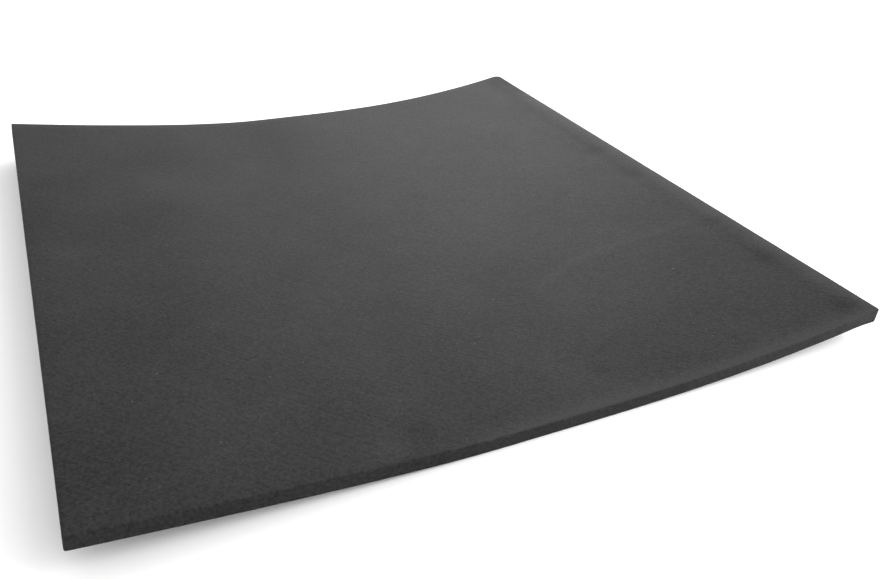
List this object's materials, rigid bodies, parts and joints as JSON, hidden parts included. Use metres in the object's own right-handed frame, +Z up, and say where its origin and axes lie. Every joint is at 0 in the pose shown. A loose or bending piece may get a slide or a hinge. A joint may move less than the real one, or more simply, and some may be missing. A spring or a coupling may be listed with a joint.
{
  "type": "seedling heat mat",
  "caption": "Square padded seedling heat mat in charcoal fabric, with curled sides and a lead inlet in its back wall.",
  "frame": {"origin": "centre of the bounding box at the height of the bench that the mat lies on", "axes": "+Z up, +Y to the back edge that holds the lead inlet, +X to the right"},
  "size_m": [0.5057, 0.5291, 0.0307],
  "materials": {
    "cover_fabric": "matte charcoal twill",
    "backing": "coated woven backing with a fine grip texture",
    "thread": "spun polyester sewing thread",
    "felt": "needled grey felt",
    "film": "translucent heater film",
    "foil": "bright rolled foil",
    "foam": "closed-cell foam",
    "wire": "silicone wire insulation",
    "moulding": "fine moulded texture",
    "crimp": "tinned",
    "sleeving": "braided glass sleeving",
    "fuse": "unglazed"
  },
  "bodies": {
    "root": {"top_cover": "cover_fabric", "bottom_cover": "backing", "closing_thread": "thread", "foam_core": "foam", "foil_reflector": "foil", "heater_film_lower": "film", "heating_wire": "wire", "heater_film_upper": "film", "felt_layer": "felt", "junction_tray": "moulding", "junction_lid": "moulding", "lead_inlet": "moulding", "crimp_heater_live": "crimp", "crimp_supply_live": "crimp", "crimp_heater_neutral": "crimp", "sleeve_heater_live": "sleeving", "sleeve_supply_live": "sleeving", "sleeve_heater_neutral": "sleeving", "thermal_fuse": "fuse", "fuse_sleeve": "sleeving"}
  },
  "joints": []
}
